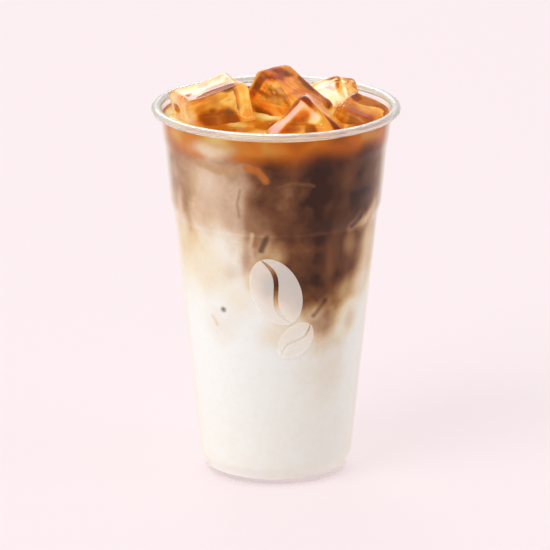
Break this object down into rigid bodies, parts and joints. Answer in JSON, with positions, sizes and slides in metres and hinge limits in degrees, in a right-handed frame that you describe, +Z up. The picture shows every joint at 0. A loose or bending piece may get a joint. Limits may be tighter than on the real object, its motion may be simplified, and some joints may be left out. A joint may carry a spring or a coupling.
{
  "type": "iced latte in a clear cup",
  "caption": "Iced latte with milk below, coffee above and ice cubes standing over the rim, in a tapered clear cup with a rolled rim.",
  "frame": {"origin": "centre of the ring that the cup stands on, at the bottom of the box round the whole object", "axes": "+Z up along the cup's axis; the side seen in the picture faces -Y, with +X to the viewer's right"},
  "size_m": [0.098, 0.098, 0.1615],
  "materials": {
    "clear_plastic": "clear, glossy, moulded sheet",
    "milk": "smooth opaque white liquid",
    "coffee": "glossy brown liquid, amber at the surface, marbled with milk",
    "ice": "clear wet ice tinted by the coffee"
  },
  "bodies": {
    "root": {"cup": "clear_plastic", "milk": "milk", "coffee": "coffee", "ice_left": "ice", "ice_tall": "ice", "ice_front": "ice", "ice_back": "ice", "ice_right": "ice"}
  },
  "joints": []
}
